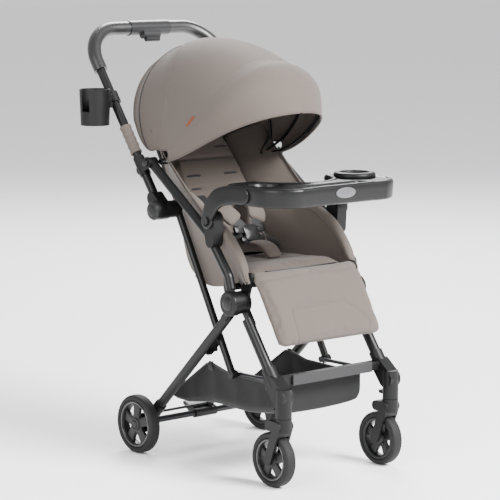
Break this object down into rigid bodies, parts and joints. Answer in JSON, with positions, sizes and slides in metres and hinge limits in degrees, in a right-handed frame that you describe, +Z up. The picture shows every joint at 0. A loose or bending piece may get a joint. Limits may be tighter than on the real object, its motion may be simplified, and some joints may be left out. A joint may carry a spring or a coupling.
{
  "type": "baby stroller",
  "caption": "folding baby stroller with a fabric canopy, padded reclining seat, child's tray, leg rest, under-seat basket, swivelling front wheels and a U-shaped push handle with a cup holder",
  "frame": {"origin": "on the ground on the centre plane, midway between the front and rear wheel contacts", "axes": "+Z up, the stroller faces -Y, +X is the seated child's left"},
  "size_m": [0.5209, 0.771, 1.052],
  "materials": {
    "frame": "semi-gloss dark charcoal",
    "plastic": "fine matt black",
    "gloss": "glossy black",
    "fabric": "taupe woven cloth",
    "dark_fabric": "black webbing and mesh",
    "tyre": "moulded foam rubber",
    "rim": "dark grey moulding",
    "steel": "plated tube",
    "grey": "light grey moulding"
  },
  "bodies": {
    "rear_frame": {"rear_leg_left": "frame", "rear_leg_right": "frame", "rear_bracket_left": "plastic", "rear_bracket_right": "plastic", "rear_axle_tube": "steel", "basket": "dark_fabric"},
    "rear_wheel_left": {"rear_tyre_left": "tyre", "rear_rim_left": "rim"},
    "rear_wheel_right": {"rear_tyre_right": "tyre", "rear_rim_right": "rim"},
    "brake": {"brake_pedal": "plastic"},
    "front_frame": {"front_leg_left": "frame", "front_leg_right": "frame", "caster_head_left": "plastic", "caster_head_right": "plastic", "footrest_bar": "plastic", "footrest_cap": "grey", "leg_rest_tube": "steel"},
    "caster_left": {"caster_fork_left": "plastic"},
    "caster_right": {"caster_fork_right": "plastic"},
    "front_wheel_left": {"front_tyre_left": "tyre", "front_rim_left": "rim"},
    "front_wheel_right": {"front_tyre_right": "tyre", "front_rim_right": "rim"},
    "swivel_lock_left": {"swivel_lock_left": "plastic"},
    "swivel_lock_right": {"swivel_lock_right": "plastic"},
    "leg_rest": {"leg_rest_board": "plastic", "leg_rest_pad": "fabric"},
    "side_arms": {"side_arm_left": "frame", "side_arm_right": "frame", "arm_knuckles": "plastic", "seat_frame": "frame", "seat_cushion": "fabric", "side_panels": "fabric", "canopy_fabric": "fabric", "buckle": "grey", "crotch_pad": "dark_fabric"},
    "backrest": {"back_board": "plastic", "back_pad": "fabric", "shoulder_harness": "dark_fabric"},
    "buckle_button": {"buckle_button": "plastic"},
    "handle": {"handle_tube": "frame", "grips": "gloss", "grip_housing": "grey", "fold_knuckles": "plastic", "fold_knobs": "plastic", "handle_lugs": "plastic", "cup_clamp": "plastic", "cup_holder": "plastic"},
    "fold_button": {"fold_button": "plastic"},
    "struts": {"strut_left": "frame", "strut_right": "frame"},
    "basket_rails": {"basket_rail_left": "steel", "basket_rail_right": "steel"},
    "tray": {"tray": "plastic"},
    "tray_button_left": {"tray_button_left": "plastic"},
    "tray_button_right": {"tray_button_right": "plastic"},
    "bow_rear": {"canopy_bow_rear": "steel"},
    "bow_middle": {"canopy_bow_middle": "steel"},
    "bow_front": {"canopy_bow_front": "steel"}
  },
  "joints": [
    {"name": "fold", "type": "hinge", "parent": "rear_frame", "child": "side_arms", "pos_m": [0, -0.115, 0.417], "axis": [-1, 0, 0], "range_deg": [0, 76], "deforming": ["side_panels", "basket"]},
    {"name": "front_legs", "type": "hinge", "parent": "rear_frame", "child": "front_frame", "pos_m": [0, -0.115, 0.417], "axis": [1, 0, 0], "range_deg": [0, 51]},
    {"name": "handle_fold", "type": "hinge", "parent": "side_arms", "child": "handle", "pos_m": [0, 0.18531, 0.72296], "axis": [1, 0, 0], "range_deg": [0, 138.9]},
    {"name": "strut_turn", "type": "hinge", "parent": "rear_frame", "child": "struts", "pos_m": [0, 0.02417, 0.28041], "axis": [-1, 0, 0], "range_deg": [0, 99.2]},
    {"name": "rail_turn", "type": "hinge", "parent": "front_frame", "child": "basket_rails", "pos_m": [0, -0.205, 0.238], "axis": [1, 0, 0], "range_deg": [0, 29.6]},
    {"name": "tray_drop", "type": "hinge", "parent": "side_arms", "child": "tray", "pos_m": [0, -0.048, 0.606], "axis": [1, 0, 0], "range_deg": [0, 30.3]},
    {"name": "canopy", "type": "hinge", "parent": "bow_rear", "child": "bow_middle", "pos_m": [0, 0.18531, 0.72296], "axis": [-1, 0, 0], "range_deg": [0, 43], "deforming": ["canopy_fabric"]},
    {"name": "canopy_rear", "type": "hinge", "parent": "side_arms", "child": "bow_rear", "pos_m": [0, 0.18531, 0.72296], "axis": [-1, 0, 0], "range_deg": [0, 14.3]},
    {"name": "canopy_front", "type": "hinge", "parent": "bow_middle", "child": "bow_front", "pos_m": [0, 0.18531, 0.72296], "axis": [-1, 0, 0], "range_deg": [0, 22.3]},
    {"name": "recline", "type": "hinge", "parent": "side_arms", "child": "backrest", "pos_m": [0, 0.1, 0.45], "axis": [-1, 0, 0], "range_deg": [0, 30]},
    {"name": "leg_rest", "type": "hinge", "parent": "front_frame", "child": "leg_rest", "pos_m": [0, -0.14, 0.478], "axis": [-1, 0, 0], "range_deg": [0, 60]},
    {"name": "rear_spin_left", "type": "hinge", "parent": "rear_frame", "child": "rear_wheel_left", "pos_m": [0.202, 0.236, 0.0725], "axis": [1, 0, 0], "continuous": true},
    {"name": "front_spin_left", "type": "hinge", "parent": "caster_left", "child": "front_wheel_left", "pos_m": [0.17, -0.236, 0.065], "axis": [1, 0, 0], "continuous": true},
    {"name": "swivel_left", "type": "hinge", "parent": "front_frame", "child": "caster_left", "pos_m": [0.17, -0.27, 0.15], "axis": [0, 0, 1], "continuous": true},
    {"name": "swivel_lock_left", "type": "slide", "parent": "front_frame", "child": "swivel_lock_left", "axis": [0, 0, -1], "range_m": [0, 0.004]},
    {"name": "tray_release_left", "type": "slide", "parent": "tray", "child": "tray_button_left", "axis": [-1, 0, 0], "range_m": [0, 0.002], "stiffness_N_per_m": 300},
    {"name": "rear_spin_right", "type": "hinge", "parent": "rear_frame", "child": "rear_wheel_right", "pos_m": [-0.202, 0.236, 0.0725], "axis": [1, 0, 0], "continuous": true},
    {"name": "front_spin_right", "type": "hinge", "parent": "caster_right", "child": "front_wheel_right", "pos_m": [-0.17, -0.236, 0.065], "axis": [1, 0, 0], "continuous": true},
    {"name": "swivel_right", "type": "hinge", "parent": "front_frame", "child": "caster_right", "pos_m": [-0.17, -0.27, 0.15], "axis": [0, 0, 1], "continuous": true},
    {"name": "swivel_lock_right", "type": "slide", "parent": "front_frame", "child": "swivel_lock_right", "axis": [0, 0, -1], "range_m": [0, 0.004]},
    {"name": "tray_release_right", "type": "slide", "parent": "tray", "child": "tray_button_right", "axis": [1, 0, 0], "range_m": [0, 0.002], "stiffness_N_per_m": 300},
    {"name": "brake", "type": "hinge", "parent": "rear_frame", "child": "brake", "pos_m": [0, 0.226, 0.0765], "axis": [-1, 0, 0], "range_deg": [0, 18]},
    {"name": "fold_press", "type": "slide", "parent": "handle", "child": "fold_button", "axis": [0, 0.5892, 0.808], "range_m": [0, 0.004], "stiffness_N_per_m": 400},
    {"name": "buckle_press", "type": "slide", "parent": "side_arms", "child": "buckle_button", "axis": [0, 0.866, 0.5], "range_m": [0, 0.002], "stiffness_N_per_m": 300}
  ],
  "couplings": [
    {"joint": "front_legs", "follows": "fold", "ratio": 0.66711},
    {"joint": "handle_fold", "follows": "fold", "ratio": 1.8211},
    {"joint": "strut_turn", "follows": "fold", "ratio": 1.2987},
    {"joint": "rail_turn", "follows": "fold", "ratio": 0.38289},
    {"joint": "tray_drop", "follows": "fold", "ratio": 0.39474},
    {"joint": "canopy_rear", "follows": "canopy", "ratio": 0.32558},
    {"joint": "canopy_front", "follows": "canopy", "ratio": 0.51163}
  ]
}
